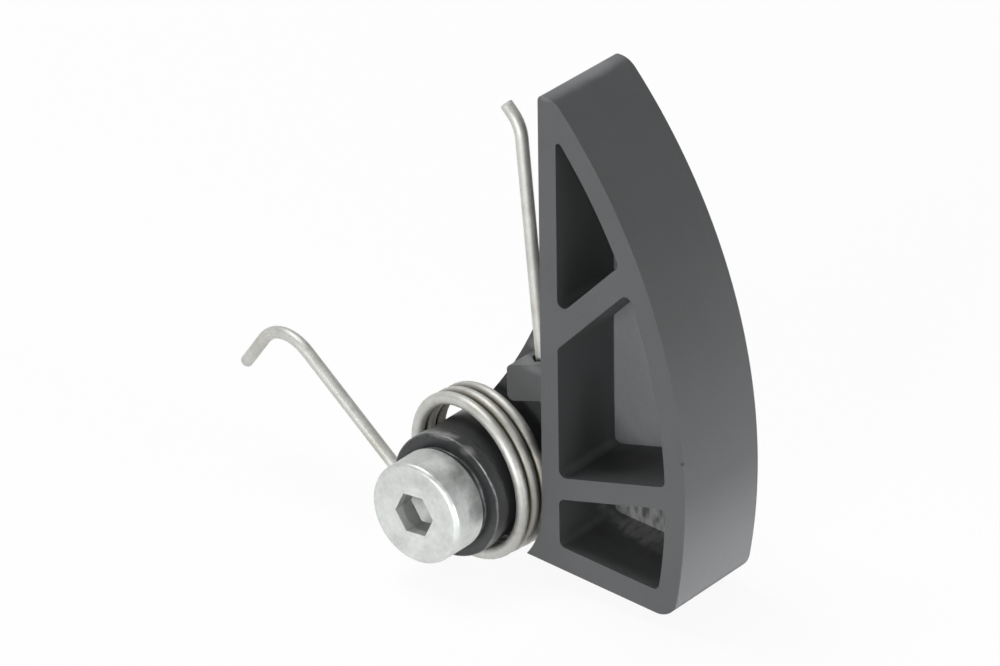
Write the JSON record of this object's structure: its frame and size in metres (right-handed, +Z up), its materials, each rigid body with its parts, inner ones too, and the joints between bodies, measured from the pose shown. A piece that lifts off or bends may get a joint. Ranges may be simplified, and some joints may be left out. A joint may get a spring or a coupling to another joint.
{
  "type": "oil pump chain tensioner",
  "caption": "Curved black plastic chain shoe with ribbed pockets, swinging on a flanged collar and socket-head bolt, pressed outwards by a torsion spring with two legs.",
  "frame": {"origin": "on the pivot axis where the collar's rear face meets the engine", "axes": "+Y along the pivot bolt into the engine, +X from the pivot towards the chain face, +Z up along the shoe"},
  "size_m": [0.0725, 0.04, 0.0648],
  "materials": {
    "black_moulding": "fine satin",
    "spring_steel": "satin",
    "blackened_steel": "glossy black",
    "plated_steel": "bright satin"
  },
  "bodies": {
    "pivot": {"pivot_bolt": "plated_steel", "pivot_collar": "blackened_steel", "torsion_spring": "spring_steel"},
    "shoe": {"tensioner_shoe": "black_moulding"}
  },
  "joints": [
    {"name": "shoe_swing", "type": "hinge", "parent": "pivot", "child": "shoe", "pos_m": [0, 0, 0], "axis": [0, 1, 0], "range_deg": [-20, 5], "stiffness_Nm_per_rad": 0.28, "deforming": ["torsion_spring"]}
  ]
}
